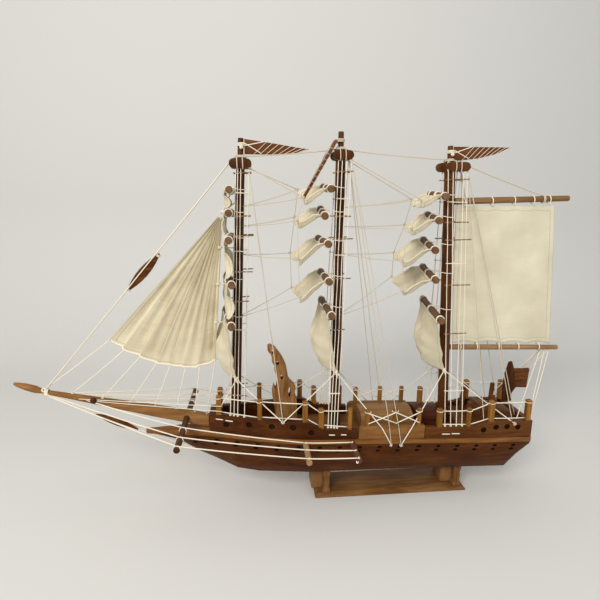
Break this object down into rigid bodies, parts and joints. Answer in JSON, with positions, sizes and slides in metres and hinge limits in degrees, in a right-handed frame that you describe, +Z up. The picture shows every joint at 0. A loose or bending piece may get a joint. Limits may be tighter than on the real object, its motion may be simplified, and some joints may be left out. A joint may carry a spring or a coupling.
{
  "type": "model sailing ship",
  "caption": "wooden display model of a square-rigged sailing ship with a fan-pleated staysail, let-out cloth sails, gaff spanker, cord rigging and a low stand",
  "frame": {"origin": "on the surface under the stand, below the middle of the overall length and breadth", "axes": "+X toward the stern, -X toward the bowsprit tip, -Y the port side, +Z up along the masts"},
  "size_m": [0.9171, 0.22, 0.605],
  "materials": {
    "dark_wood": "satin varnish",
    "hull_wood": "satin varnish",
    "band_wood": "satin varnish",
    "post_wood": "satin varnish",
    "dowel_wood": "satin varnish",
    "stand_wood": "satin varnish",
    "muslin": "matt woven cotton"
  },
  "bodies": {
    "stand": {"stand_base": "stand_wood", "fore_cradle": "stand_wood", "aft_cradle": "stand_wood"},
    "ship": {"aft_bulwark": "dark_wood", "aft_side_boom": "dowel_wood", "bobstay_float": "band_wood", "bowsprit": "band_wood", "carved_ornament": "post_wood", "companion": "dark_wood", "deck": "band_wood", "deckhouse": "band_wood", "ensign_staff": "dark_wood", "fan_sail": "muslin", "fore_bulwark": "dark_wood", "fore_mast": "dark_wood", "fore_side_boom": "dowel_wood", "forestay_float": "dark_wood", "hull": "hull_wood", "main_mast": "dark_wood", "mizzen_mast": "dark_wood", "poop_deck": "dark_wood", "port_waist_bulwark": "band_wood", "spritsail_yard": "dark_wood", "starboard_waist_bulwark": "band_wood"},
    "fore_yards": {"fore_course": "muslin", "fore_sail_1": "muslin", "fore_sail_2": "muslin", "fore_sail_3": "muslin", "fore_sail_4": "muslin", "fore_yard_1": "dowel_wood", "fore_yard_2": "dowel_wood", "fore_yard_3": "dowel_wood", "fore_yard_4": "dowel_wood", "fore_yard_5": "dowel_wood"},
    "main_yards": {"main_course": "muslin", "main_sail_1": "muslin", "main_sail_2": "muslin", "main_sail_3": "muslin", "main_sail_4": "muslin", "main_yard_1": "dowel_wood", "main_yard_2": "dowel_wood", "main_yard_3": "dowel_wood", "main_yard_4": "dowel_wood", "main_yard_5": "dowel_wood"},
    "mizzen_yards": {"mizzen_course": "muslin", "mizzen_sail_1": "muslin", "mizzen_sail_2": "muslin", "mizzen_sail_3": "muslin", "mizzen_sail_4": "muslin", "mizzen_yard_1": "dowel_wood", "mizzen_yard_2": "dowel_wood", "mizzen_yard_3": "dowel_wood", "mizzen_yard_4": "dowel_wood", "mizzen_yard_5": "dowel_wood"},
    "spanker_gear": {"gaff": "dowel_wood", "boom": "dowel_wood", "spanker": "muslin"},
    "fore_flag": {"fore_pennant": "dark_wood"},
    "main_flag": {"main_pennant": "dark_wood"},
    "mizzen_flag": {"mizzen_pennant": "dark_wood"}
  },
  "joints": [
    {"name": "ship_lift", "type": "slide", "parent": "stand", "child": "ship", "axis": [0, 0, 1], "range_m": [0, 0.08]},
    {"name": "fore_brace", "type": "hinge", "parent": "ship", "child": "fore_yards", "pos_m": [-0.11055, 0, 0.12425], "axis": [0.0364, 0, 0.9993], "range_deg": [-5, 5]},
    {"name": "main_brace", "type": "hinge", "parent": "ship", "child": "main_yards", "pos_m": [0.06145, 0, 0.11861], "axis": [-0.005, 0, 1], "range_deg": [-6, 6]},
    {"name": "mizzen_brace", "type": "hinge", "parent": "ship", "child": "mizzen_yards", "pos_m": [0.25695, 0, 0.11236], "axis": [-0.0475, 0, 0.9989], "range_deg": [-5, 8]},
    {"name": "spanker_swing", "type": "hinge", "parent": "ship", "child": "spanker_gear", "pos_m": [0.25695, 0, 0.11236], "axis": [-0.0475, 0, 0.9989], "range_deg": [-10, 10]},
    {"name": "fore_pennant_swing", "type": "hinge", "parent": "ship", "child": "fore_flag", "pos_m": [-0.11055, 0, 0.12425], "axis": [0.0364, 0, 0.9993], "range_deg": [-40, 40]},
    {"name": "main_pennant_swing", "type": "hinge", "parent": "ship", "child": "main_flag", "pos_m": [0.06145, 0, 0.11861], "axis": [-0.005, 0, 1], "range_deg": [-3, 3]},
    {"name": "mizzen_pennant_swing", "type": "hinge", "parent": "ship", "child": "mizzen_flag", "pos_m": [0.25695, 0, 0.11236], "axis": [-0.0475, 0, 0.9989], "range_deg": [-40, 40]}
  ]
}
